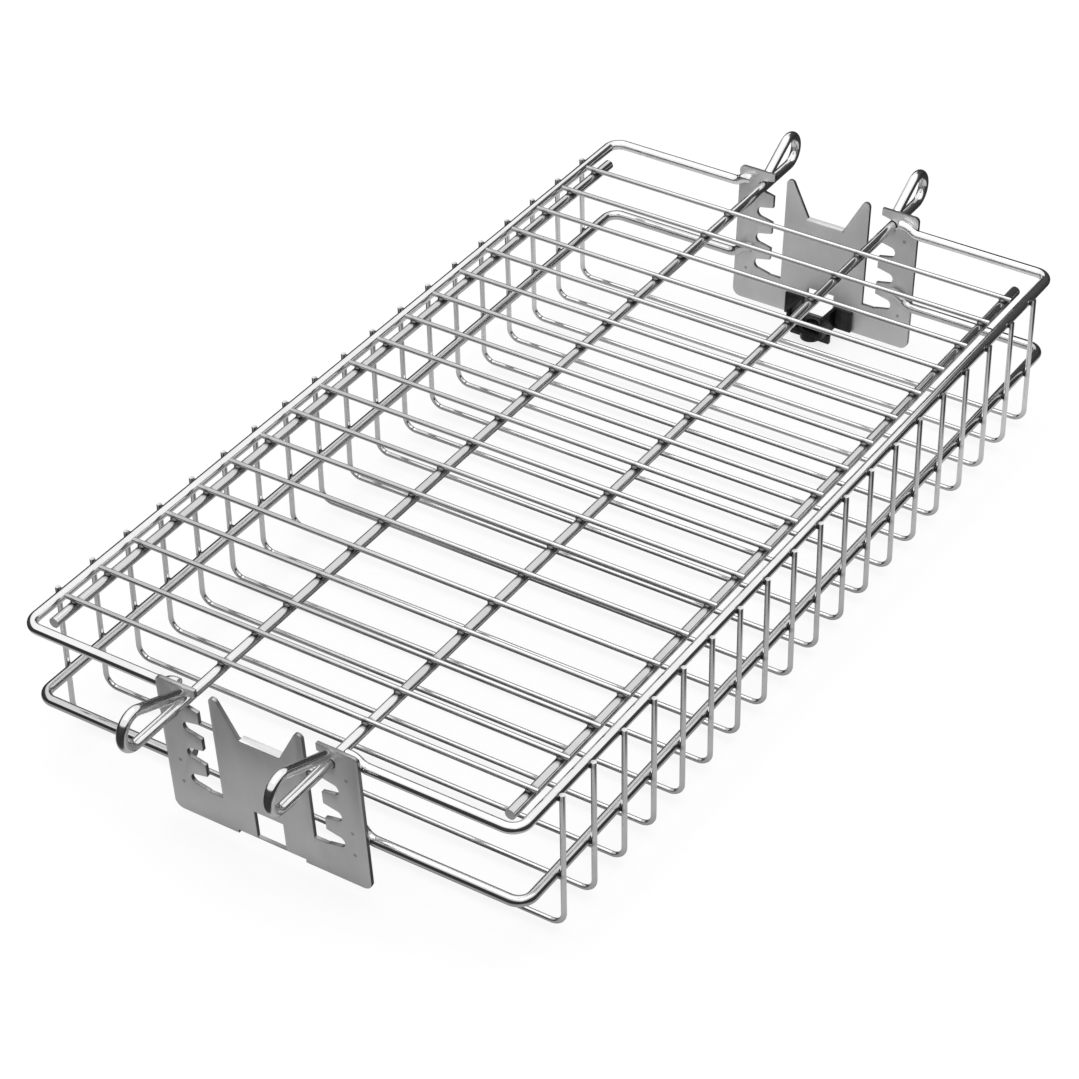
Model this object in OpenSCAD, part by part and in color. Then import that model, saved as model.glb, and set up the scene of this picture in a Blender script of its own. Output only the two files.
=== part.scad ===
// Flat spit basket for a grill rotisserie: a welded wire basket with a drop-in wire lid.
// X runs along the basket (near end at -X), Y across it and Z up, with the origin under the
// middle of the overall box. All sizes are in millimetres.

/* [Basket] */
// Length between the centrelines of the top rim's short sides
basket_l = 381; // [340:1:460]
// Width between the centrelines of the top rim's long sides
basket_w = 200; // [170:1:240]
// Drop from the top rim down to the mid band
band_drop = 33; // [30:1:38]
// Drop from the top rim down to the wires of the floor
floor_drop = 55; // [50:1:64]
// How far the mid band is set in at each end, which tilts the end plates
band_inset = 2.2; // [0:0.1:4]
// Diameter of the rim and band wire
rim_wire_d = 4; // [3:0.5:5]
// Bend radius of the rim and band corners
rim_corner_r = 5.5; // [4:0.5:14]
// Diameter of the U-shaped rib wires
rib_wire_d = 2; // [1.5:0.25:3]
// Bend radius of the ribs' lower corners
rib_corner_r = 5; // [4:0.5:12]
// Distance from one rib to the next
rib_pitch = 18.85; // [18.5:0.05:24]
// Least distance from the rim's end to the first rib
rib_end_space = 20; // [16:1:30]
// How far a rib's end stands above the middle of the rim wire
rib_end_rise = 1.5; // [0.5:0.25:2]

/* [Crank at the wire ends] */
// Rise of the top rim's ends where they are cranked behind the end plates
rim_crank_rise = 2.5; // [1:0.5:3]
// Rise of the mid band's ends
band_crank_rise = 4.5; // [2:0.5:6]
// Bend radius of both cranks
crank_r = 6; // [5:0.5:8]
// Distance from a plate's side edge to the start of the crank
crank_lead = 1.5; // [0:0.5:4]
// Straight wire left beyond the crank
stub_l = 1; // [0.5:0.25:1.5]

/* [End plates] */
// Sheet thickness of the end plates
plate_t = 1.5; // [1:0.1:2.5]
// Width of an end plate
plate_w = 82; // [80:1:100]
// Height of the plate's top above the rim centreline
plate_rise = 6; // [5:0.5:9]
// Height of the plate's bottom above the centreline of the floor wires
plate_lift = 0.7; // [0:0.1:4]
// Radius of the plate's lower corners
plate_foot_r = 3.5; // [2:0.5:8]
// Radius of the plate's upper corners
plate_head_r = 2; // [1:0.5:3]
// Width across the middle body, from slot to slot
body_w = 38; // [34:1:42]
// Width of each upright slot
slot_w = 5.6; // [5:0.2:8]
// Depth of the notches beyond the slot
notch_depth = 7.2; // [6:0.2:8]
// Number of lid heights
notch_count = 4; // [2:1:4]
// Distance from one notch to the next
notch_pitch = 12; // [10:0.5:12.5]
// Drop of the top notch's middle below the rim centreline
notch_drop = 0.5; // [0:0.25:1.5]
// Play of a lid rod in its notch, all round
notch_play = 0.3; // [0.2:0.05:0.5]
// How much a notch widens towards the slot, above and below
notch_flare = 1.3; // [0.5:0.1:2]
// Drop of the middle edge between the horns below the rim centreline
saddle_drop = 8.7; // [6:0.5:12]
// Width of the middle edge between the feet of the horns
saddle_w = 16.6; // [12:0.2:22]
// Width of a horn at its tip
horn_tip_w = 3.6; // [3:0.2:5]
// Depth of the lip turned in along the middle edge
lip_depth = 1.7; // [1:0.1:5]
// Width and height of the square spit hole
spit_hole = 12; // [10:0.5:13]
// Sheet left under the spit hole
spit_hole_margin = 2; // [1.5:0.1:3]
// Width of the shallow recess in the plate's bottom edge
recess_w = 28; // [20:1:34]
// Height of that recess
recess_h = 1.5; // [0.5:0.1:2]

/* [Lid] */
// Diameter of the lid's two rods, which end in the finger loops
rod_d = 4; // [3:0.5:4.5]
// Diameter of the two side rails
rail_d = 4; // [3:0.5:4.5]
// Gap between the side rails' near ends and the rim
rail_near_gap = 4.1; // [4:0.1:8]
// Gap between the side rails' far ends and the rim
rail_far_gap = 13.9; // [8:0.1:18]
// Gap between a side rail and the rim inside which it drops
rail_gap = 3.15; // [2:0.05:6]
// Diameter of the lid's cross wires
lid_wire_d = 2; // [1.5:0.25:3]
// Distance from one cross wire to the next
lid_wire_pitch = 18.7; // [18.5:0.1:24]
// Least length of rail beyond the outermost cross wires
rail_overhang = 11; // [8:0.5:16]
// Gap between the cross wires' ends and the rim
lid_wire_gap = 1.5; // [1:0.1:2.5]

/* [Finger loops] */
// Bend radius of the loops' round ends
loop_r = 6.5; // [5.5:0.25:8]
// Reach of the near loops beyond the rim centreline
near_loop_reach = 37.5; // [30:0.5:44]
// Reach of the far loops beyond the rim centreline
far_loop_reach = 30.5; // [28:0.5:44]
// Gap between an end plate and the end of a loop's return leg
loop_gap = 3; // [2.5:0.25:4]
// Gap left at the flexing point of a rod, inside its spherical seat
flex_gap = 0.25; // [0.15:0.05:0.4]

/* [Spit clamp] */
// Sheet thickness of the clamp bracket
bracket_t = 1.5; // [1.2:0.1:2]
// Clear width between the bracket's side walls
bracket_w = 14; // [13.5:0.5:16]
// How far the bracket reaches into the basket
bracket_reach = 13; // [11:0.5:18]
// Height of the bracket's side walls above its floor
bracket_h = 8; // [6:0.5:10]
// Width of each ear spot-welded to the plate
ear_w = 7; // [5:0.5:10]
// Diameter of the clamp screw
screw_d = 6; // [5:0.5:6]
// Running play of the screw in its hole, all round
screw_play = 0.08; // [0.05:0.01:0.1]
// How far the screw's tip stands above the bracket's floor when backed off
screw_tip = 1; // [0:0.5:3]
// Gap between the bracket's floor and the screw's hub
hub_gap = 0.8; // [0.3:0.1:2]
// Diameter of the screw's hub
hub_d = 8.5; // [8:0.5:11]
// Height of the hub
hub_h = 4; // [2.5:0.5:5]
// Length of each wing, measured from the screw's axis
wing_l = 9; // [8:0.5:12]
// Thickness of the wings
wing_t = 2; // [1.5:0.25:2.5]

/* [Hidden] */
$fn = 32;
cut = 1; // how far a cutting shape runs past the surface that it cuts
weld_gap = 0.05; // touching wires are drawn this far apart
bend_swell = 0.02; // how far a wire swells where a bend of odd angle meets its neighbour

// Heights, measured from the rim centreline at 0
lid_z = -notch_drop;
floor_z = -floor_drop;
plate_top = plate_rise;
plate_bottom = floor_z + plate_lift;
hole_bottom = plate_bottom + spit_hole_margin;
bracket_floor_top = hole_bottom - 0.3;
bracket_floor_bottom = bracket_floor_top - bracket_t;
hub_top = bracket_floor_bottom - hub_gap;
hub_bottom = hub_top - hub_h;

// Positions along X
rim_x = basket_l / 2;
band_x = rim_x - band_inset;
plate_tilt = atan(band_inset / band_drop);
plate_face = rim_x + rim_wire_d / 2 + weld_gap; // a plate's inner face, at the rim's height
plate_back = plate_face + plate_t / cos(plate_tilt) + plate_top * tan(plate_tilt);
mid_shift = (near_loop_reach - far_loop_reach) / 2; // puts X 0 in the middle of the overall length

// Height of the rim above the lowest point: the hub, as the tilt leaves it, or the floor wires
screw_low = hub_bottom * cos(plate_tilt) + (bracket_reach - hub_d) / 2 * sin(plate_tilt);
rim_height = -min(screw_low, floor_z - rib_wire_d / 2);

// Positions along Y
side_y = basket_w / 2;
rib_y = side_y + (rim_wire_d + rib_wire_d) / 2 + weld_gap;
slot_in = body_w / 2;
slot_out = slot_in + slot_w;
notch_r = rod_d / 2 + notch_play;
rod_y = slot_out + notch_depth - notch_r;
rail_y = side_y - rim_wire_d / 2 - rail_gap - rail_d / 2;
lid_wire_y = side_y - rim_wire_d / 2 - lid_wire_gap;

// Ribs and cross wires: as many as fit, in a row about the middle of the basket or of the rails
rail_start_x = -rim_x + rim_wire_d / 2 + rail_near_gap;
rail_l = 2 * rim_x - rim_wire_d - rail_near_gap - rail_far_gap;
rib_n = floor((basket_l - 2 * rib_end_space) / rib_pitch) + 1;
lid_wire_n = floor((rail_l - 2 * rail_overhang) / lid_wire_pitch) + 1;
function row_x(i, n, pitch) = (i - (n - 1) / 2) * pitch;
function rib_x(i) = row_x(i, rib_n, rib_pitch);
function lid_wire_x(i) = rail_start_x + rail_l / 2 + row_x(i, lid_wire_n, lid_wire_pitch);
near_flex_x = lid_wire_x(0);
far_flex_x = lid_wire_x(lid_wire_n - 1);
lid_wire_z = lid_z + (rod_d + lid_wire_d) / 2 + weld_gap;

// Finger loops: where a loop's node starts, and where its return leg stops short of the plate
root_x = plate_back + loop_gap / 2;
return_x = plate_back + loop_gap;

function two_digits(i) = str(i < 9 ? "0" : "", i + 1);
RIBS = [for (i = [0 : rib_n - 1]) str("rib_", two_digits(i))];
LID_WIRES = [for (i = [0 : lid_wire_n - 1]) str("lid_wire_", two_digits(i))];

// Moves a piece from the rim's own frame, centred on the rim, to the part's frame.
module placed() { translate([mid_shift, 0, rim_height]) children(); }

// The piece as drawn for the left and far side, or mirrored: side is 1 for left (+Y) and -1 for
// right, end is 1 for far (+X) and -1 for near.
module on_side(side) { mirror([0, side < 0 ? 1 : 0, 0]) children(); }
module at_end(end) { mirror([end < 0 ? 1 : 0, 0, 0]) children(); }

// Straight round wire from the origin along +X, +Y or +Z.
module wire_x(d, l) { rotate([0, 90, 0]) cylinder(d = d, h = l); }
module wire_y(d, l) { rotate([-90, 0, 0]) cylinder(d = d, h = l); }

// Bend of a round wire about Z, starting on +X.
module bend(d, r, angle) { rotate_extrude(angle = angle) translate([r, 0]) circle(d = d); }

// The slight swelling of a wire at the end of a bend of odd angle, which joins it to the next.
module bend_joint(d, r, angle) {
    rotate([0, 0, angle]) translate([r, 0, 0]) sphere(d = d + 2 * bend_swell);
}

// Rim or band: the quarter from the middle of a long side to an end plate, seen here at the far
// left. Its end is cranked up behind the plate, to which it is welded clear of the slots.
module quarter_wire(end_x, crank_rise) {
    corner_x = end_x - rim_corner_r;
    corner_y = side_y - rim_corner_r;
    crank_a = acos(1 - crank_rise / (2 * crank_r));
    crank_y = plate_w / 2 + crank_lead;
    crank_run = 2 * crank_r * sin(crank_a);
    translate([0, side_y, 0]) wire_x(rim_wire_d, corner_x);
    translate([corner_x, corner_y, 0]) bend(rim_wire_d, rim_corner_r, 90);
    translate([end_x, crank_y, 0]) wire_y(rim_wire_d, corner_y - crank_y);
    // the first bend lifts the wire on its way to the middle, and the second levels it again
    translate([end_x, crank_y, crank_r]) rotate([0, 90, 0]) {
        bend(rim_wire_d, crank_r, -crank_a);
        bend_joint(rim_wire_d, crank_r, -crank_a);
    }
    translate([end_x, crank_y - crank_run, crank_rise - crank_r]) {
        rotate([0, -90, 0]) bend(rim_wire_d, crank_r, crank_a);
        translate([0, -stub_l, crank_r]) wire_y(rim_wire_d, stub_l);
    }
}

// Top rim: one C-shaped wire along each side.
module top_rim(side) {
    color("silver") placed() on_side(side)
        for (end = [-1, 1]) at_end(end) quarter_wire(rim_x, rim_crank_rise);
}

// Mid band: two wires along each side, butt-welded end to end in the middle.
module mid_band(end, side) {
    color("silver") placed() translate([0, 0, -band_drop])
        at_end(end) on_side(side) quarter_wire(band_x, band_crank_rise);
}

// Rib: one U-shaped wire, welded outside both rims, whose base is a wire of the floor.
module rib(i) {
    corner_y = rib_y - rib_corner_r;
    corner_z = floor_z + rib_corner_r;
    color("silver") placed() translate([rib_x(i), 0, 0])
        for (side = [-1, 1]) on_side(side) {
            translate([0, 0, floor_z]) wire_y(rib_wire_d, corner_y);
            translate([0, corner_y, corner_z]) rotate([0, 90, 0]) bend(rib_wire_d, rib_corner_r, 90);
            translate([0, rib_y, corner_z]) cylinder(d = rib_wire_d, h = rib_end_rise - corner_z);
        }
}

// One lid notch: a round seat for the rod that flares towards the slot.
module notch() {
    translate([rod_y, 0]) circle(r = notch_r);
    polygon([
        [rod_y, notch_r], [rod_y, -notch_r],
        [slot_out - cut, -notch_r - notch_flare], [slot_out - cut, notch_r + notch_flare]
    ]);
}

module rounded_strip(w, low, high, r_low, r_high) {
    for (side = [-1, 1]) {
        translate([side * (w / 2 - r_low), low + r_low]) circle(r = r_low);
        translate([side * (w / 2 - r_high), high - r_high]) circle(r = r_high);
    }
    translate([-w / 2 + r_low, low]) square([w - 2 * r_low, high - low - r_high]);
    translate([-w / 2, low + r_low]) square([w, high - low - r_low - r_high]);
    translate([-w / 2 + r_high, low + r_low]) square([w - 2 * r_high, high - low - r_low]);
}

// Outline of an end plate: two notched columns, a middle body with two horns, and the spit hole.
module plate_outline() {
    slot_bottom = lid_z - (notch_count - 1) * notch_pitch - notch_r - notch_flare;
    // round tip of a horn, and the point at which the valley's slope runs into it
    tip_r = horn_tip_w / 2;
    tip = [slot_in - tip_r, plate_top - tip_r];
    to_tip = tip - [saddle_w / 2, -saddle_drop];
    slope_a = atan2(to_tip[1], to_tip[0]) + asin(tip_r / norm(to_tip));
    meet = tip + tip_r * [-sin(slope_a), cos(slope_a)];
    difference() {
        rounded_strip(plate_w, plate_bottom, plate_top, plate_foot_r, plate_head_r);
        // valley between the horns
        polygon([
            [-saddle_w / 2, -saddle_drop], [saddle_w / 2, -saddle_drop],
            meet, [meet[0], plate_top + cut],
            [-meet[0], plate_top + cut], [-meet[0], meet[1]]
        ]);
        translate([-spit_hole / 2, hole_bottom]) square(spit_hole);
        translate([-recess_w / 2, plate_bottom - cut]) square([recess_w, recess_h + cut]);
        for (side = [-1, 1]) mirror([side < 0 ? 1 : 0, 0]) {
            translate([slot_in, slot_bottom]) square([slot_w, plate_top + cut - slot_bottom]);
            for (i = [0 : notch_count - 1]) translate([0, lid_z - i * notch_pitch]) notch();
            // rounds the tip of the horn
            difference() {
                translate([meet[0], tip[1]]) square([slot_in + cut - meet[0], tip_r + cut]);
                translate(tip) circle(r = tip_r);
            }
        }
    }
}

// Stands a drawn outline up at the far end, thickness t outwards, tilted as the end plates are.
module against_far_rims(t) {
    translate([plate_face, 0, 0]) rotate([0, plate_tilt, 0])
        rotate([90, 0, 90]) linear_extrude(t) children();
}

// End plate: pressed sheet outside both rims, with a lip turned in between its horns.
module end_plate(end) {
    color("darkgray") placed() at_end(end) {
        against_far_rims(plate_t) plate_outline();
        translate([plate_face, 0, 0]) rotate([0, plate_tilt, 0])
            translate([-lip_depth, -saddle_w / 2, -saddle_drop - plate_t])
                cube([lip_depth + plate_t / 2, saddle_w, plate_t]);
    }
}

// Clamp bracket: a sheet saddle under the spit, open at the top, with an ear on each side that
// is welded to the inside of the far plate. Drawn in the tilted plate's own frame.
module clamp_bracket() {
    inner = bracket_w / 2;
    color([0.22, 0.22, 0.23]) placed() translate([plate_face, 0, 0]) rotate([0, plate_tilt, 0])
        difference() {
            union() {
                translate([-bracket_reach, -inner - bracket_t, bracket_floor_bottom])
                    cube([bracket_reach - weld_gap, 2 * (inner + bracket_t), bracket_t]);
                for (side = [-1, 1]) on_side(side) {
                    translate([-bracket_reach, inner, bracket_floor_bottom])
                        cube([bracket_reach - weld_gap, bracket_t, bracket_t + bracket_h]);
                    translate([-bracket_t - weld_gap, inner, bracket_floor_bottom])
                        cube([bracket_t, bracket_t + ear_w, bracket_t + bracket_h]);
                }
            }
            translate([-bracket_reach / 2, 0, bracket_floor_bottom - cut])
                cylinder(d = screw_d + 2 * screw_play, h = bracket_t + 2 * cut);
        }
}

// Clamp screw: threaded shank with a hub and two wings under the bracket.
module clamp_screw() {
    color([0.15, 0.15, 0.16]) placed() translate([plate_face, 0, 0]) rotate([0, plate_tilt, 0])
        translate([-bracket_reach / 2, 0, 0]) {
            translate([0, 0, hub_top])
                cylinder(d = screw_d, h = bracket_floor_top + screw_tip - hub_top);
            translate([0, 0, hub_bottom]) cylinder(d = hub_d, h = hub_h);
            for (side = [-1, 1]) on_side(side)
                translate([-wing_t / 2, 0, hub_bottom]) cube([wing_t, wing_l, hub_h]);
        }
}

// Side rail: a straight wire along the lid's edge with both ends cut free.
module lid_rail(side) {
    color("silver") placed() on_side(side)
        translate([rail_start_x, rail_y, lid_z]) wire_x(rail_d, rail_l);
}

// Lid rod: the stretch between the outermost cross wires, with a spherical seat in each end.
module lid_rod(side) {
    color("silver") placed() on_side(side) translate([0, rod_y, lid_z]) difference() {
        translate([near_flex_x, 0, 0]) wire_x(rod_d, far_flex_x - near_flex_x);
        for (x = [near_flex_x, far_flex_x]) translate([x, 0, 0]) sphere(d = rod_d + 2 * flex_gap);
    }
}

// Cross wire, welded over both rods and both rails.
module lid_wire(i) {
    color("silver") placed() translate([lid_wire_x(i), -lid_wire_y, lid_wire_z])
        wire_y(lid_wire_d, 2 * lid_wire_y);
}

// Rod end: the springy stretch from the last cross wire out through the end plate's notch.
module rod_end(end, side) {
    flex_x = end > 0 ? far_flex_x : -near_flex_x;
    color("silver") placed() at_end(end) on_side(side) translate([flex_x, rod_y, lid_z]) {
        sphere(d = rod_d);
        wire_x(rod_d, root_x - flex_x);
    }
}

// Finger loop: the rod's end bent up and back into a teardrop that stands on edge.
module finger_loop(end, side) {
    reach = end > 0 ? far_loop_reach : near_loop_reach;
    centre_x = rim_x + reach - loop_r - rod_d / 2;
    // the return leg leaves the round end as its tangent and stops just above the rod, at rest
    rest = [return_x - centre_x, rod_d + weld_gap - loop_r];
    turn = 360 + atan2(rest[1], rest[0]) - acos(loop_r / norm(rest));
    leg = sqrt(norm(rest) ^ 2 - loop_r ^ 2);
    color("silver") placed() at_end(end) on_side(side) translate([centre_x, rod_y, lid_z]) {
        translate([root_x - centre_x, 0, 0]) wire_x(rod_d, centre_x - root_x);
        translate([0, 0, loop_r]) rotate([90, 0, 0]) {
            rotate([0, 0, -90]) bend(rod_d, loop_r, turn + 90);
            bend_joint(rod_d, loop_r, turn);
            rotate([0, 0, turn]) translate([loop_r, 0, 0]) wire_y(rod_d, leg);
        }
    }
}

top_rim(1);  // top_rim_left
top_rim(-1);  // top_rim_right
mid_band(-1, 1);  // near_left_band
mid_band(-1, -1);  // near_right_band
mid_band(1, 1);  // far_left_band
mid_band(1, -1);  // far_right_band
for (i = [0 : rib_n - 1]) rib(i);
end_plate(-1);  // near_end_plate
end_plate(1);  // far_end_plate
clamp_bracket();
clamp_screw();
lid_rail(1);  // lid_rail_left
lid_rail(-1);  // lid_rail_right
lid_rod(1);  // lid_rod_left
lid_rod(-1);  // lid_rod_right
for (i = [0 : lid_wire_n - 1]) lid_wire(i);
rod_end(-1, 1);  // near_left_rod_end
rod_end(-1, -1);  // near_right_rod_end
rod_end(1, 1);  // far_left_rod_end
rod_end(1, -1);  // far_right_rod_end
finger_loop(-1, 1);  // near_left_loop
finger_loop(-1, -1);  // near_right_loop
finger_loop(1, 1);  // far_left_loop
finger_loop(1, -1);  // far_right_loop
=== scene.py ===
import math

import bmesh
import bpy
from mathutils import Matrix, Vector


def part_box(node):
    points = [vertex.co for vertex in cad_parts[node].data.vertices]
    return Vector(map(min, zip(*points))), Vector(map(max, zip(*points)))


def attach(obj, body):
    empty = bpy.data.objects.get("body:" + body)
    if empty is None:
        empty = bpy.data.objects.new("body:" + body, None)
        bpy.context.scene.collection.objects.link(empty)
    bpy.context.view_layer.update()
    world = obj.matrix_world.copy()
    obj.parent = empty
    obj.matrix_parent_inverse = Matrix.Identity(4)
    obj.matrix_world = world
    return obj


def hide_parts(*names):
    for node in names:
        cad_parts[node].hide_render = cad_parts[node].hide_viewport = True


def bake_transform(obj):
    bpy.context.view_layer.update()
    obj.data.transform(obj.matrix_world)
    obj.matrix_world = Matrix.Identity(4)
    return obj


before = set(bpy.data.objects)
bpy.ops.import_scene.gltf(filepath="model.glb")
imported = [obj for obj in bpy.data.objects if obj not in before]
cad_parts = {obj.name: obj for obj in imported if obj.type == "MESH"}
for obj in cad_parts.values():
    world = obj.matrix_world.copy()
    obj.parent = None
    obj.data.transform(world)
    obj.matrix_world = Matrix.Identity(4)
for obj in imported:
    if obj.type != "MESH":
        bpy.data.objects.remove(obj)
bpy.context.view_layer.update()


# --- Top rim -------------------------------------------------------------------------------------
# Two C-shaped halves of 4 mm steel wire, bright chrome plated after welding. Each is drawn,
# cut to length and bent tightly at the corners, and its ends are cranked up behind the end plates.

class Value:
    """The output of a node, which can be used in a sum as a number can."""

    def __init__(self, tree, socket):
        self.tree, self.socket = tree, socket

    def other(self, output):
        """Another output of the same node, by its name or its place."""
        return Value(self.tree, self.socket.node.outputs[output])

    def math(self, operation, *rest):
        return self.tree.node("ShaderNodeMath", {"operation": operation},
                              dict(enumerate((self, *rest))))

    def __add__(self, other):
        return self.math("ADD", other)

    def __sub__(self, other):
        return self.math("SUBTRACT", other)

    def __mul__(self, other):
        return self.math("MULTIPLY", other)

    def __truediv__(self, other):
        return self.math("DIVIDE", other)

    def __pow__(self, other):
        return self.math("POWER", other)

    def __rsub__(self, other):
        return self.tree.node("ShaderNodeMath", {"operation": "SUBTRACT"}, {0: other, 1: self})

    __radd__ = __add__
    __rmul__ = __mul__

    def between(self, low, high):
        """0 below low, 1 above high and smooth between them."""
        return self.tree.node("ShaderNodeMapRange", {"interpolation_type": "SMOOTHSTEP"},
                              {"Value": self, "From Min": low, "From Max": high})


class Tree:
    """A node tree, to which nodes are added one call at a time."""

    def __init__(self, group):
        self.group = group

    def node(self, kind, settings=None, sockets=None):
        made = self.group.nodes.new(kind)
        for name, value in (settings or {}).items():
            if name == "capture":
                made.capture_items.new(*value)
            else:
                setattr(made, name, value)
        for name, value in (sockets or {}).items():
            if isinstance(value, Value):
                self.group.links.new(value.socket, made.inputs[name])
            else:
                made.inputs[name].default_value = value
        shown = [out for out in made.outputs if out.enabled]
        return Value(self, shown[0]) if shown else made


def finish(name, base, paint):
    """A new material. paint takes its tree and its shader, and adds the detail."""
    material = bpy.data.materials.new(name)
    material.use_nodes = True
    material.diffuse_color = (*base, 1)
    shader = material.node_tree.nodes["Principled BSDF"]
    shader.inputs["Base Color"].default_value = (*base, 1)
    paint(Tree(material.node_tree), shader)
    return material


def plug(value, shader, socket):
    """Links a value to a socket of a shader."""
    value.tree.group.links.new(value.socket, shader.inputs[socket])


def shade_mix(tree, amount, first, last):
    """A colour between two others, each of them given or worked out by a node."""
    first, last = (shade if isinstance(shade, Value) else (*shade, 1) for shade in (first, last))
    colour_a, colour_b, colour_out = 6, 7, 2
    return tree.node("ShaderNodeMix", {"data_type": "RGBA"},
                     {"Factor": amount, colour_a: first, colour_b: last}).other(colour_out)


def object_place(tree):
    """Where a point of the surface is, in the piece's own coordinates."""
    return tree.node("ShaderNodeTexCoord").other("Object")


def split(tree, vector):
    """The three parts of a vector. It is its X as it stands, and Y and Z are its other outputs."""
    return tree.node("ShaderNodeSeparateXYZ", None, {"Vector": vector})


def noise(tree, vector, scale, detail, rough):
    """Soft noise between 0 and 1."""
    return tree.node("ShaderNodeTexNoise", None,
                     {"Vector": vector, "Scale": scale, "Detail": detail, "Roughness": rough})


def bump(tree, strength, distance, height):
    """A surface normal that follows a height."""
    return tree.node("ShaderNodeBump", None,
                     {"Strength": strength, "Distance": distance, "Height": height})


def least(values):
    """The smallest of several values."""
    low = values[0]
    for value in values[1:]:
        low = low.math("MINIMUM", value)
    return low


def nearest(value, marks):
    """How far a value is from the nearest of the marks."""
    return least([(value - mark).math("ABSOLUTE") for mark in marks])


def from_weld(tree, place, first, pitch, count, sides, levels):
    """How far a place is from the nearest weld. The welds stand in rows along X, of this many
    each, at these distances to both sides of the middle and at these levels."""
    x = split(tree, place)
    step = (x - first) / pitch
    weld = step.math("ROUND").math("MAXIMUM", 0.0).math("MINIMUM", count - 1.0)
    along = (step - weld) * pitch
    across = nearest(x.other("Y").math("ABSOLUTE"), sides)
    up = nearest(x.other("Z"), levels)
    return (along ** 2 + across ** 2 + up ** 2) ** 0.5


# The draw lines and dull patches of the plating, how far wear and the weld film with its painted
# shade go, and how far above the floor a wire carries painted shade. Lengths are in metres.
draw_lines = {"scale": 1.0, "detail": 3.0, "rough": 0.6}
line_bump = {"strength": 0.12, "distance": 0.00004}
line_rough_least, line_rough_more = 0.7, 0.6
dull_patches = {"scale": 90.0, "detail": 4.0, "rough": 0.55}
wear_from, wear_to = 0.35, 0.75
wear_cover, wear_rough = 0.10, 0.04
tint_and_shade_cover, tint_and_shade_rough, tint_and_shade_uneven = 0.92, 0.20, 0.0010
floor_shade_from, floor_shade_to = 0.001, 0.012


def plated_wire(name, base, film, rough, welds, spread=(0.0012, 0.0028), floor_shade=None):
    """Chrome on drawn wire: faint draw lines along it, small dull patches, and a dark film that
    spreads from the welds, partly thin plating there and partly painted shade where wires cross.
    Close to the floor it fades to a painted floor shade, where one is given."""

    def paint(tree, shader):
        shader.inputs["Metallic"].default_value = 1.0
        grain = tree.node("ShaderNodeAttribute", {"attribute_name": "wire_grain"}).other("Vector")
        lines = noise(tree, grain, **draw_lines)
        place = object_place(tree)
        patches = noise(tree, place, **dull_patches)
        wear = patches.between(wear_from, wear_to)
        # The dark film at the welds: thin plating at the weld itself, and painted shade where
        # wires cross.
        weld_tint_and_shade = 1 - (from_weld(tree, place, *welds) + tint_and_shade_uneven * patches).between(*spread)
        shade = base
        # Painted shade: the wire's colour darkens close to the floor.
        if floor_shade:
            up = split(tree, place).other("Z")
            shade = shade_mix(tree, up.between(floor_shade_from, floor_shade_to), floor_shade, base)
        plated = (1 - tint_and_shade_cover * weld_tint_and_shade) * (1 - wear_cover * wear)
        plug(shade_mix(tree, plated, film, shade), shader, "Base Color")
        line_rough = rough * (line_rough_least + line_rough_more * lines)
        plug(line_rough + wear_rough * wear + tint_and_shade_rough * weld_tint_and_shade, shader, "Roughness")
        plug(bump(tree, **line_bump, height=lines), shader, "Normal")

    return finish(name, base, paint)


rim_wire = 0.004
first_rib, second_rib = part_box("rib_01"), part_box("rib_02")
rib_x = (first_rib[0].x + first_rib[1].x) / 2
rib_pitch = second_rib[0].x - first_rib[0].x
rib_count = sum(1 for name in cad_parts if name.startswith("rib_"))
rim_low, rim_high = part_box("top_rim_left")
band_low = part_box("near_left_band")[0]
weld_levels = (rim_low.z + rim_wire / 2, band_low.z + rim_wire / 2)
weld_side = rim_high.y
rib_welds = (rib_x, rib_pitch, rib_count, (weld_side,), weld_levels)
basket_film = (0.07, 0.07, 0.07)
basket_chrome = plated_wire("basket_chrome", (0.92, 0.92, 0.925), basket_film, 0.09, rib_welds)


def arc_points(before, corner, after, radius, steps):
    """The bend that rounds a corner of a wire, as points from one tangent to the other."""
    back, on = (before - corner).normalized(), (after - corner).normalized()
    turn = math.pi - back.angle(on)
    reach = radius * math.tan(turn / 2)
    centre = corner + (back + on).normalized() * math.hypot(radius, reach)
    first, last = corner + back * reach - centre, corner + on * reach - centre
    normal = first.cross(last).normalized()
    return [centre + Matrix.Rotation(turn * k / steps, 3, normal) @ first
            for k in range(steps + 1)]


def bent(corners, radii, steps=10):
    """The line of a wire that runs from corner to corner, with a bend of its own at each."""
    corners = [Vector(c) for c in corners]
    line = [corners[0]]
    for k, radius in enumerate(radii, 1):
        line += arc_points(corners[k - 1], corners[k], corners[k + 1], radius, steps)
    return line + [corners[-1]]


def new_group(name, **inputs):
    """A new geometry group with these inputs, with the tree and input node to build it from."""
    group = bpy.data.node_groups.new(name, "GeometryNodeTree")
    for label, kind in inputs.items():
        group.interface.new_socket(label, in_out="INPUT", socket_type="NodeSocket" + kind)
    group.interface.new_socket("Made", in_out="OUTPUT", socket_type="NodeSocketGeometry")
    tree = Tree(group)
    return group, tree, tree.node("NodeGroupInput")


def hand_out(tree, given, made):
    """Ends a geometry tree: one plain mesh in the finish that its input names."""
    made = tree.node("GeometryNodeRealizeInstances", None, {"Geometry": made})
    made = tree.node("GeometryNodeSetMaterial", None,
                     {"Geometry": made, "Material": given.other("Finish")})
    tree.node("NodeGroupOutput", None, {"Made": made})


across_grain, along_grain = 3000.0, 60.0
cut_end = math.radians(40)


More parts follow.
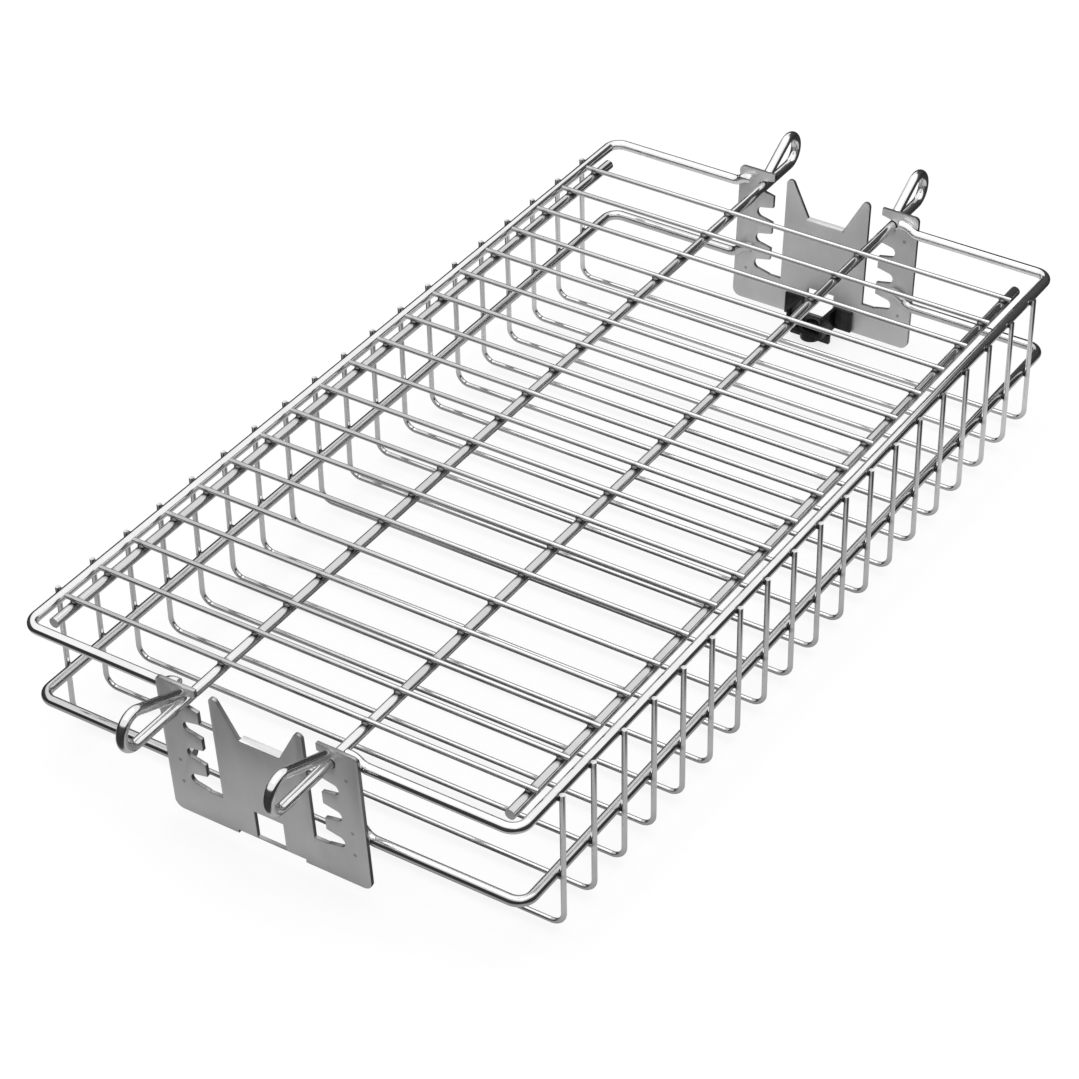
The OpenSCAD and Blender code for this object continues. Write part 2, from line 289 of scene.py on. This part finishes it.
def wire_tree(name):
    """Draws wire of a round section along each line of a mesh, with its ends cut square."""
    group, tree, given = new_group(name, Lines="Geometry", Diameter="Float", Sides="Int",
                                   Finish="Material")
    line = tree.node("GeometryNodeMeshToCurve", None, {"Mesh": given})
    section = tree.node("GeometryNodeCurvePrimitiveCircle", None, {
        "Resolution": given.other("Sides"), "Radius": given.other("Diameter") * 0.5})
    along = tree.node("GeometryNodeSplineParameter").other("Length")
    line = tree.node("GeometryNodeCaptureAttribute", {"capture": ("FLOAT", "along")},
                     {"Geometry": line, 1: along})
    section = tree.node("GeometryNodeCaptureAttribute", {"capture": ("VECTOR", "across")},
                        {"Geometry": section, 1: tree.node("GeometryNodeInputPosition")})
    wire = tree.node("GeometryNodeCurveToMesh", None,
                     {"Curve": line, "Profile Curve": section, "Fill Caps": True})
    across = split(tree, section.other("across"))
    grain = tree.node("ShaderNodeCombineXYZ", None, {
        "X": across * across_grain, "Y": across.other("Y") * across_grain,
        "Z": line.other("along") * along_grain})
    wire = tree.node("GeometryNodeStoreNamedAttribute",
                     {"data_type": "FLOAT_VECTOR", "domain": "POINT"},
                     {"Geometry": wire, "Name": "wire_grain", "Value": grain})
    hand_out(tree, given, wire)
    return group


def grown(name, group, sizes, lines):
    """The plain mesh that a geometry tree makes from these lines and sizes."""
    start = bpy.data.meshes.new(name + "_start")
    points = [p for line in lines for p in line]
    edges, first = [], 0
    for line in lines:
        edges += [(k, k + 1) for k in range(first, first + len(line) - 1)]
        first += len(line)
    start.from_pydata(points, edges, [])
    holder = bpy.data.objects.new(name + "_start", start)
    bpy.context.scene.collection.objects.link(holder)
    modifier = holder.modifiers.new(name, "NODES")
    modifier.node_group = group
    for item in group.interface.items_tree:
        if item.in_out == "INPUT" and item.name in sizes:
            modifier[item.identifier] = sizes[item.name]
    seen = holder.evaluated_get(bpy.context.evaluated_depsgraph_get())
    mesh = bpy.data.meshes.new_from_object(seen)
    bpy.data.objects.remove(holder)
    mesh.name = name
    mesh.shade_smooth()
    mesh.set_sharp_from_angle(angle=cut_end)
    return mesh


def drawn(name, diameter, chrome, line):
    """The mesh of one wire of the frame, drawn along a line."""
    return grown(name, wire_drawing,
                 {"Diameter": diameter, "Sides": frame_sides, "Finish": chrome}, [line])


def piece(name, mesh, body, nodes=()):
    """Puts a mesh in the scene as a piece of the object. It rides on a body, where one is given,
    and takes the place of the nodes."""
    made = bpy.data.objects.new(name, mesh)
    bpy.context.scene.collection.objects.link(made)
    if body:
        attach(made, body)
    if nodes:
        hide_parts(*nodes)
    return made


wire_drawing = wire_tree("drawn_wire")
frame_sides = 24
rim_bend, crank_bend = 0.0055, 0.006
stub = 0.001


def c_line(low, high, side):
    """The line of one C-shaped half of the rim or band, between the corners of its box. Its first
    and last stretch are cranked up to the top of the box."""
    near, far = low.x + rim_wire / 2, high.x - rim_wire / 2
    level = low.z + rim_wire / 2
    rise = high.z - low.z - rim_wire
    outer = side * (max(abs(low.y), abs(high.y)) - rim_wire / 2)
    inner = side * min(abs(low.y), abs(high.y))
    swing = math.acos(1 - rise / (2 * crank_bend))
    slack = crank_bend * math.tan(swing / 2)
    top = inner + side * (stub + slack)
    foot = inner + side * (stub + 2 * crank_bend * math.sin(swing) - slack)
    half = [(inner, rise), (top, rise), (foot, 0.0)]
    corners = [(near, y, level + up) for y, up in half]
    corners += [(near, outer, level), (far, outer, level)]
    corners += [(far, y, level + up) for y, up in reversed(half)]
    return bent(corners, [crank_bend, crank_bend, rim_bend, rim_bend, crank_bend, crank_bend])


for side, s in (("left", 1), ("right", -1)):
    low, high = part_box("top_rim_" + side)
    mesh = drawn("rim_" + side, rim_wire, basket_chrome, c_line(low, high, s))
    piece("rim_" + side, mesh, "basket", ["top_rim_" + side])


# --- Mid band ------------------------------------------------------------------------------------
# The same 4 mm wire as the top rim, 33 mm lower and a little shorter, because the end plates lean
# in towards the floor. Each half is one wire, bent and cranked in the same way. Its chrome is
# given a greyer colour than the rim's, a painted shade under the rim above.

band_shaded_chrome = plated_wire("band_shaded_chrome", (0.66, 0.66, 0.665), basket_film, 0.11, rib_welds)
for side, s in (("left", 1), ("right", -1)):
    low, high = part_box(f"near_{side}_band")
    high = Vector((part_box(f"far_{side}_band")[1].x, high.y, high.z))
    mesh = drawn("band_" + side, rim_wire, band_shaded_chrome, c_line(low, high, s))
    piece("band_" + side, mesh, "basket", [f"near_{side}_band", f"far_{side}_band"])


# --- Ribs ----------------------------------------------------------------------------------------
# Nineteen U-shaped ribs of 2 mm wire, chrome plated with the basket. Both uprights are resistance
# welded outside the rim and the band, and the base of the U is a wire of the floor.

rib_wire = 0.002
rib_bend = 0.005
thin_sides = 14


def row_tree(name):
    """Draws one line of wire, and repeats it in a row along X."""
    group, tree, given = new_group(name, Lines="Geometry", Diameter="Float", Sides="Int",
                                   Count="Int", Pitch="Float", Finish="Material")
    step = tree.node("ShaderNodeCombineXYZ", None, {"X": given.other("Pitch")})
    places = tree.node("GeometryNodeMeshLine", None,
                       {"Count": given.other("Count"), "Offset": step})
    wire = tree.node("GeometryNodeGroup", {"node_tree": wire_drawing}, {
        "Lines": given, "Diameter": given.other("Diameter"), "Sides": given.other("Sides"),
        "Finish": given.other("Finish")})
    row = tree.node("GeometryNodeInstanceOnPoints", None, {"Points": places, "Instance": wire})
    hand_out(tree, given, row)
    return group


wire_row = row_tree("row_of_wires")
# Painted shade: the ribs' wire is given a greyer colour close to the floor.
rib_chrome = plated_wire("rib_chrome", (0.92, 0.92, 0.925), basket_film, 0.09, rib_welds,
                         floor_shade=(0.52, 0.52, 0.525))
low, high = first_rib
rib_y = high.y - rib_wire / 2
rib_floor = low.z + rib_wire / 2
rib_line = bent([(rib_x, -rib_y, high.z), (rib_x, -rib_y, rib_floor), (rib_x, rib_y, rib_floor),
                 (rib_x, rib_y, high.z)], [rib_bend, rib_bend])
mesh = grown("ribs", wire_row, {"Diameter": rib_wire, "Sides": thin_sides, "Count": rib_count,
                                "Pitch": rib_pitch, "Finish": rib_chrome}, [rib_line])
piece("ribs", mesh, "basket", [f"rib_{k:02d}" for k in range(1, rib_count + 1)])


# --- Welds of the ribs ---------------------------------------------------------------------------
# Where a rib crosses the rim or the band, the two wires are pressed together while hot. A little
# metal is squeezed out round the contact, and the plating over it is thin and dull.

weld_metal = plated_wire("weld_metal", (0.16, 0.16, 0.16), (0.05, 0.05, 0.05), 0.30, rib_welds)


def weld_tree(name):
    """A flattened bead of squeezed-out metal on each given point, each of its own size."""
    group, tree, given = new_group(name, Points="Geometry", Size="Vector", Finish="Material")
    bead = tree.node("GeometryNodeMeshUVSphere", None,
                     {"Segments": 10, "Rings": 6, "Radius": 1.0})
    float_low, float_high, float_out = 2, 3, 1
    uneven = tree.node("FunctionNodeRandomValue", {"data_type": "FLOAT"},
                       {float_low: 0.85, float_high: 1.15, "Seed": 7}).other(float_out)
    size = tree.node("ShaderNodeVectorMath", {"operation": "SCALE"},
                     {0: given.other("Size"), "Scale": uneven})
    welds = tree.node("GeometryNodeInstanceOnPoints", None,
                      {"Points": given, "Instance": bead, "Scale": size})
    hand_out(tree, given, welds)
    return group


weld_beads = weld_tree("weld_beads")
rib_bead = (0.0013, 0.0007, 0.0013)
points = [(rib_x + k * rib_pitch, s * weld_side, z)
          for k in range(rib_count) for z in weld_levels for s in (-1, 1)]
mesh = grown("rib_welds", weld_beads, {"Size": rib_bead, "Finish": weld_metal},
             [[p] for p in points])
piece("rib_welds", mesh, "basket")


# --- End plates ----------------------------------------------------------------------------------
# Two stampings of 1.5 mm sheet, satin plated: columns with four notches for the lid's rods, slots,
# two horns with a turned-in lip between them, and the square hole for the spit. Spot welds hold
# them to the cranked ends of the rim and the band.

# The rolling grain and the clouds of the sheet, and a dimple's size, shade and depth.
grain_stretch = (900.0, 1400.0, 45.0)
rolling_grain = {"scale": 1.0, "detail": 4.0, "rough": 0.65}
grain_tone, grain_height, grain_rough = 0.55, 0.5, 0.14
soft_clouds = {"scale": 38.0, "detail": 3.0, "rough": 0.5}
cloud_from, cloud_to, cloud_tone, cloud_rough = 0.3, 0.7, 0.75, 0.06
tone_from, tone_to = 0.15, 1.1
sheet_bump = {"strength": 0.30, "distance": 0.00006}
pit_inner, pit_outer, pit_uneven = 0.0006, 0.0013, 0.0006
pit_shade, pit_cover, pit_depth = (0.12, 0.12, 0.12), 0.55, 4.0


def satin_sheet(name, base, dull, rough, metal=1.0, dimples=()):
    """Plated cold-rolled sheet: a fine upright rolling grain, soft clouds, and a dull dimple at
    each place, across and up, where a spot weld holds the sheet to a wire behind it."""

    def paint(tree, shader):
        shader.inputs["Metallic"].default_value = metal
        place = object_place(tree)
        stretched = tree.node("ShaderNodeVectorMath", {"operation": "MULTIPLY"},
                              {0: place, 1: grain_stretch})
        grain = noise(tree, stretched, **rolling_grain)
        clouds = noise(tree, place, **soft_clouds)
        tone = grain_tone * grain + cloud_tone * clouds.between(cloud_from, cloud_to)
        shade = shade_mix(tree, tone.between(tone_from, tone_to), dull, base)
        height = grain_height * grain
        if dimples:
            x = split(tree, place)
            apart = least([((x.other("Y") - y) ** 2 + (x.other("Z") - z) ** 2) ** 0.5
                           for y, z in dimples])
            pit = 1 - (apart + pit_uneven * clouds).between(pit_inner, pit_outer)
            shade = shade_mix(tree, pit_cover * pit, shade, pit_shade)
            height = height - pit_depth * pit
        plug(shade, shader, "Base Color")
        plug(rough + grain_rough * grain + cloud_rough * clouds, shader, "Roughness")
        plug(bump(tree, **sheet_bump, height=height), shader, "Normal")

    return finish(name, base, paint)


dimple_inset = 0.0055
dimple_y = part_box("near_end_plate")[1].y - dimple_inset
rim_level, band_level = weld_levels
dimple_levels = (rim_level - 0.006, band_level + 0.003, band_level - 0.007)
dimples = [(s * dimple_y, z) for s in (-1, 1) for z in dimple_levels]
plate_sheet = satin_sheet("plate_sheet", (0.80, 0.80, 0.805), (0.69, 0.69, 0.695), 0.41, 0.86,
                          dimples)
sheared_edge = satin_sheet("sheared_edge", (0.34, 0.34, 0.345), (0.18, 0.18, 0.185), 0.26)


same_place = 0.00001
flat, crease, smooth_below = math.radians(1), math.radians(35), math.radians(30)


def dressed_copy(name, node, edge, steps, material):
    """A node's solid with its edges rounded, as a new mesh whose flat faces are in one piece."""
    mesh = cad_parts[node].data.copy()
    mesh.name = name
    work = bmesh.new()
    work.from_mesh(mesh)
    bmesh.ops.remove_doubles(work, verts=work.verts, dist=same_place)
    bmesh.ops.dissolve_limit(work, angle_limit=flat, verts=work.verts, edges=work.edges)
    bmesh.ops.recalc_face_normals(work, faces=work.faces)
    sharp = [e for e in work.edges if len(e.link_faces) == 2 and e.calc_face_angle() > crease]
    bmesh.ops.bevel(work, geom=sharp, offset=edge, offset_type="OFFSET", segments=steps,
                    profile=0.5, affect="EDGES", clamp_overlap=True)
    work.to_mesh(mesh)
    work.free()
    mesh.materials.clear()
    mesh.materials.append(material)
    mesh.shade_smooth()
    mesh.set_sharp_from_angle(angle=smooth_below)
    return mesh


face_on, within_sheet, not_edge = 0.99, 0.55, 0.97


def shear(mesh):
    """Gives the sheared edges of a pressed sheet, where the plating is thinner, their finish."""
    broad = max(mesh.polygons, key=lambda face: face.area)
    out = broad.normal.copy()
    levels = [face.center.dot(out) for face in mesh.polygons
              if abs(face.normal.dot(out)) > face_on and face.area > broad.area / 3]
    middle, thick = (min(levels) + max(levels)) / 2, max(levels) - min(levels)
    mesh.materials.append(sheared_edge)
    for face in mesh.polygons:
        reach = max(abs(mesh.vertices[k].co.dot(out) - middle) for k in face.vertices)
        if reach < within_sheet * thick and abs(face.normal.dot(out)) < not_edge:
            face.material_index = 1


for end in ("near", "far"):
    mesh = dressed_copy(end + "_plate", end + "_end_plate", edge=0.00015, steps=2,
                        material=plate_sheet)
    shear(mesh)
    piece(end + "_plate", mesh, "basket", [end + "_end_plate"])


# --- Spit clamp ----------------------------------------------------------------------------------
# A saddle of 1.5 mm sheet, folded up at its sides and spot-welded inside the far plate, and a
# thumbscrew that presses the square spit up from below. Both are given a near-black colour, a
# painted shade for plated steel that lies in shade inside the far plate.

shaded_sheet = satin_sheet("shaded_sheet", (0.08, 0.08, 0.082), (0.02, 0.02, 0.021), 0.10)
shaded_screw = satin_sheet("shaded_screw", (0.06, 0.06, 0.062), (0.015, 0.015, 0.016), 0.10)
mesh = dressed_copy("clamp_saddle", "clamp_bracket", edge=0.0002, steps=2, material=shaded_sheet)
piece("clamp_saddle", mesh, "basket", ["clamp_bracket"])
mesh = dressed_copy("thumbscrew", "clamp_screw", edge=0.0003, steps=3, material=shaded_screw)
piece("thumbscrew", mesh, "clamp_screw_body", ["clamp_screw"])


# --- Lid rails and cross wires -------------------------------------------------------------------
# The lid is a grid: nineteen cross wires of 2 mm, welded on top of two 4 mm rods and of two 4 mm
# side rails whose ends are cut square. It is plated like the basket.

rail_wire = 0.004
cross_wire = 0.002
cross_count = sum(1 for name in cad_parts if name.startswith("lid_wire_"))
low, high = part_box("lid_wire_01")
cross_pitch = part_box("lid_wire_02")[0].x - low.x
middle = (low + high) / 2
cross_x, cross_z = middle.x, middle.z
cross_line = [Vector((cross_x, low.y, cross_z)), Vector((cross_x, high.y, cross_z))]
rail_low, rail_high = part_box("lid_rail_left")
rod_low, rod_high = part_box("lid_rod_left")
lid_rows = ((rod_low.y + rod_high.y) / 2, (rail_low.y + rail_high.y) / 2)
lid_welds = (cross_x, cross_pitch, cross_count, lid_rows, (cross_z - cross_wire / 2,))
# The lid's weld film is darker and reaches further: weld tint, with painted shade where the cross
# wires lie on the rods and rails.
lid_film_and_shade, lid_shade_spread = (0.05, 0.05, 0.05), (0.0020, 0.0042)
lid_chrome = plated_wire("lid_chrome", (0.88, 0.88, 0.885), lid_film_and_shade, 0.09, lid_welds, lid_shade_spread)
# Painted shade: the rods and rails are given a greyer chrome than the loops of the same wire.
rod_shaded_chrome = plated_wire("rod_shaded_chrome", (0.70, 0.70, 0.705), lid_film_and_shade, 0.10, lid_welds, lid_shade_spread)
# Painted shade: the cross wires are given a greyer chrome than the ribs' wire of the same plating.
cross_shaded_chrome = plated_wire("cross_shaded_chrome", (0.56, 0.56, 0.565), basket_film, 0.13, lid_welds)
for side in ("left", "right"):
    low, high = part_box("lid_rail_" + side)
    middle = (low + high) / 2
    mesh = drawn("rail_" + side, rail_wire, rod_shaded_chrome,
                 [Vector((low.x, middle.y, middle.z)), Vector((high.x, middle.y, middle.z))])
    piece("rail_" + side, mesh, "lid", ["lid_rail_" + side])

mesh = grown("cross_wires", wire_row, {
    "Diameter": cross_wire, "Sides": thin_sides, "Count": cross_count, "Pitch": cross_pitch,
    "Finish": cross_shaded_chrome}, [cross_line])
piece("cross_wires", mesh, "lid",
      [f"lid_wire_{k:02d}" for k in range(1, cross_count + 1)])


# --- Rods and finger loops -----------------------------------------------------------------------
# Each lid rod is one spring wire of 4 mm. It leaves the basket through a notch at each end, and is
# bent up and back into a teardrop that fingers squeeze, so that the rod springs out of its notch.

rod_wire = 0.004
loop_bend, loop_steps = 0.0065, 40
tip_past, tip_clear = 0.0004, 0.00005
overlap, flex_reach, flex_step = 0.022, 0.014, 0.002
flex_near, flex_far = cross_x, cross_x + (cross_count - 1) * cross_pitch


def loop_line(start_x, loop_box, rod_y, rod_z, out):
    """The line of a rod's end from start_x out to its loop and back. out is 1 or -1 along X."""
    low, high = loop_box
    tip = high.x if out > 0 else low.x
    centre = Vector((tip - out * (loop_bend + rod_wire / 2), rod_y, rod_z + loop_bend))
    root = low.x if out > 0 else high.x
    rest = Vector((root - out * tip_past, rod_y, rod_z + rod_wire + tip_clear)) - centre
    toward = Vector((out * rest.x, 0, rest.z))
    angle = math.atan2(toward.z, toward.x) - math.acos(loop_bend / toward.length)
    angle += 2 * math.pi
    line = [Vector((start_x, rod_y, rod_z)), Vector((root, rod_y, rod_z))]
    for k in range(loop_steps + 1):
        at = -math.pi / 2 + (angle + math.pi / 2) * k / loop_steps
        across, up = loop_bend * math.cos(at), loop_bend * math.sin(at)
        line.append(centre + Vector((out * across, 0, up)))
    return line + [centre + rest]


def fine(line, step):
    """The same line with more points on its long stretches."""
    out = [line[0]]
    for a, b in zip(line, line[1:]):
        parts = max(1, round((b - a).length / step))
        out += [a.lerp(b, k / parts) for k in range(1, parts + 1)]
    return out


for side, s in (("left", 1), ("right", -1)):
    low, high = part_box("lid_rod_" + side)
    middle = (low + high) / 2
    rod_y, rod_z = middle.y, middle.z
    first, last = flex_near + overlap, flex_far - overlap
    mesh = drawn("rod_" + side, rod_wire, rod_shaded_chrome,
                 [Vector((first, rod_y, rod_z)), Vector((last, rod_y, rod_z))])
    piece("rod_" + side, mesh, "lid", ["lid_rod_" + side])
    for end, out, start, flex in (("near", -1, first, flex_near), ("far", 1, last, flex_far)):
        line = loop_line(start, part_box(f"{end}_{side}_loop"), rod_y, rod_z, out)
        mesh = drawn(f"{end}_loop_{side}", rod_wire, lid_chrome, fine(line, flex_step))
        loop = piece(f"{end}_loop_{side}", mesh, None,
                     [f"{end}_{side}_rod_end", f"{end}_{side}_loop"])
        flex - out * flex_reach
        flex + out * flex_reach
        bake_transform(loop)


# --- Welds of the lid ----------------------------------------------------------------------------
# The same resistance welds as on the ribs, here between each cross wire and the four wires under
# it. Their beads lie flat between the wires.

lid_bead = (0.0016, 0.0016, 0.0008)
points = [(cross_x + k * cross_pitch, s * y, cross_z - cross_wire / 2)
          for k in range(cross_count) for y in lid_rows for s in (-1, 1)]
mesh = grown("lid_welds", weld_beads, {"Size": lid_bead, "Finish": weld_metal},
             [[p] for p in points])
piece("lid_welds", mesh, "lid")


# --- Floor and light -----------------------------------------------------------------------------
# A plain pale floor under one wide soft light in a white studio. Plated wire mirrors more: a grey
# table top, darker in the shade under the basket, a low dark skirt round three sides, and two dark
# cloths beyond the far end. They give each wire its dark bands.

def floor_paint(tree, shader):
    """Plain pale paint, which glows to the camera so that it shows white with a soft shadow."""
    shader.inputs["Roughness"].default_value = 0.9
    shader.inputs["Specular IOR Level"].default_value = 0.0
    seen = tree.node("ShaderNodeLightPath")
    shader.inputs["Emission Strength"].default_value = 1.0
    plug(shade_mix(tree, seen, (0, 0, 0), (0.80, 0.80, 0.80)), shader, "Emission Color")
    plug(shade_mix(tree, seen, (0.85, 0.85, 0.85), (0.22, 0.22, 0.22)), shader, "Base Color")


def stage_set(name, points, faces, material):
    """Puts a mesh in the scene as a thing of the studio."""
    mesh = bpy.data.meshes.new(name)
    mesh.from_pydata(points, [], faces)
    mesh.materials.append(material)
    made = bpy.data.objects.new(name, mesh)
    bpy.context.scene.collection.objects.link(made)
    return made


def flat_sheet(name, half_x, half_y, level, material):
    """A level rectangle of the studio, around the middle of the scene."""
    corners = [(-half_x, -half_y, level), (half_x, -half_y, level),
               (half_x, half_y, level), (-half_x, half_y, level)]
    return stage_set(name, corners, [(0, 1, 2, 3)], material)


floor_half = 4.0
floor = flat_sheet("floor", floor_half, floor_half, 0.0,
                   finish("floor_paint", (0.9, 0.9, 0.9), floor_paint))
floor.visible_glossy = False

# The table top is grey as far as table_half and black beyond, and its shade lies between the two
# corners. Each cloth has its place and the height where it ends.
table_half = (0.240, 0.160)
table_sheet_half, table_level = (1.1, 0.4), -0.0005
table_grey, table_lift, lift_end = 0.40, 0.16, 0.16
shade_low, shade_high = (-0.190, -0.075), (0.100, 0.045)
shade_depth, soft_end, soft_side, soft_table = 0.84, 0.005, 0.020, 0.012
beyond_grey = (0.03, 0.03, 0.03)
skirt_half, skirt_top = (0.34, 0.25), 0.170
far_wall_x, far_wall_half, far_wall_top = 1.0, 1.2, 0.60
side_wall_x, side_wall_top = 0.40, 0.36
side_wall_right, side_wall_left = -0.8, 0.05
cloth_fade = 0.8


def only_mirrored(made):
    """Keeps a thing of the studio out of sight, so that it shows in bright metal alone."""
    made.visible_camera = made.visible_diffuse = made.visible_shadow = False
    made.visible_transmission = False


def table_paint(tree, shader):
    """Grey near the basket and nearly black beyond, with a dark shade under the basket."""
    x = split(tree, object_place(tree))
    y = x.other("Y")
    over = (x.math("ABSOLUTE") - table_half[0]).math(
        "MAXIMUM", y.math("ABSOLUTE") - table_half[1])
    beyond = over.between(-soft_table, soft_table)
    from_ends = least([x - shade_low[0], shade_high[0] - x]).between(-soft_end, soft_end)
    from_sides = least([y - shade_low[1], shade_high[1] - y]).between(-soft_side, soft_side)
    dark = 1 - (1 - beyond) * (1 - shade_depth * from_ends * from_sides)
    lit = table_grey + table_lift * x.between(0.0, lift_end)
    shader.inputs["Emission Strength"].default_value = 1.0
    grey = tree.node("ShaderNodeCombineColor", None, {"Red": lit, "Green": lit, "Blue": lit})
    plug(shade_mix(tree, dark, grey, beyond_grey), shader, "Emission Color")


def cloth_paint(top, dark):
    """Dark cloth that fades into the white of the studio at its top."""

    def paint(tree, shader):
        z = split(tree, object_place(tree)).other("Z")
        shader.inputs["Emission Strength"].default_value = 1.0
        fade = z.between(cloth_fade * top, top)
        plug(shade_mix(tree, fade, (dark, dark, dark), (1, 1, 1)), shader, "Emission Color")

    return paint


def wall(name, line, top, dark):
    """An upright dark cloth of the studio that stands on a line on the floor."""
    foot, count = [(x, y, 0) for x, y in line], len(line)
    made = stage_set(name, foot + [(x, y, top) for x, y in line],
                     [(k, k + 1, k + 1 + count, k + count) for k in range(count - 1)],
                     finish(name, (0, 0, 0), cloth_paint(top, dark)))
    only_mirrored(made)


only_mirrored(flat_sheet("table_top", *table_sheet_half, table_level,
                         finish("table_top", (0, 0, 0), table_paint)))
a, b = skirt_half
wall("dark_skirt", [(a, -b), (-a, -b), (-a, b), (a, b)], skirt_top, 0.03)
wall("far_wall", [(far_wall_x, -far_wall_half), (far_wall_x, far_wall_half)], far_wall_top, 0.002)
wall("side_wall", [(side_wall_x, side_wall_right), (side_wall_x, side_wall_left)],
     side_wall_top, 0.02)
for name in ("table_top", "dark_skirt", "far_wall", "side_wall"):
    bpy.data.materials[name].cycles.emission_sampling = "NONE"

studio = bpy.data.worlds.new("studio")
bpy.context.scene.world = studio
studio.use_nodes = True
tree = Tree(studio.node_tree)
path = tree.node("ShaderNodeLightPath")
in_glass = path.other("Is Transmission Ray")
shown = path.math("MAXIMUM", path.other("Is Glossy Ray")).math("MAXIMUM", in_glass)
backdrop = studio.node_tree.nodes["Background"]
soft_strength, shown_more = 0.7, 0.3
plug(soft_strength + shown_more * shown, backdrop, "Strength")
backdrop.inputs["Color"].default_value = (1, 1, 1, 1)

lamp = bpy.data.lights.new("softbox", "AREA")
lamp.shape, lamp.size, lamp.size_y = "RECTANGLE", 1.6, 1.6
lamp.energy = 11.0
softbox = bpy.data.objects.new("softbox", lamp)
softbox.location = (0.0, 0.0, 1.5)
bpy.context.scene.collection.objects.link(softbox)


# --- Camera --------------------------------------------------------------------------------------
# A long lens above one corner of the basket, near the loops of one end, looking along the basket
# and down.

stand = Vector((-0.82710, -0.53176, 0.75289))
ahead = Vector((0.66780, 0.44009, -0.60030)).normalized()
level_line = Vector((0.54092, -0.84095, -0.01476))
to_right = (level_line - ahead * level_line.dot(ahead)).normalized()
to_top = to_right.cross(ahead)
lens = bpy.data.cameras.new("camera")
lens.sensor_width = 36.0
lens.lens = 110.01
lens.clip_end = 50.0
camera = bpy.data.objects.new("camera", lens)
turned = Matrix((to_right, to_top, -ahead)).transposed().to_4x4()
camera.matrix_world = Matrix.Translation(stand) @ turned
bpy.context.scene.collection.objects.link(camera)
bpy.context.scene.camera = camera
bpy.context.scene.view_settings.view_transform = "Standard"
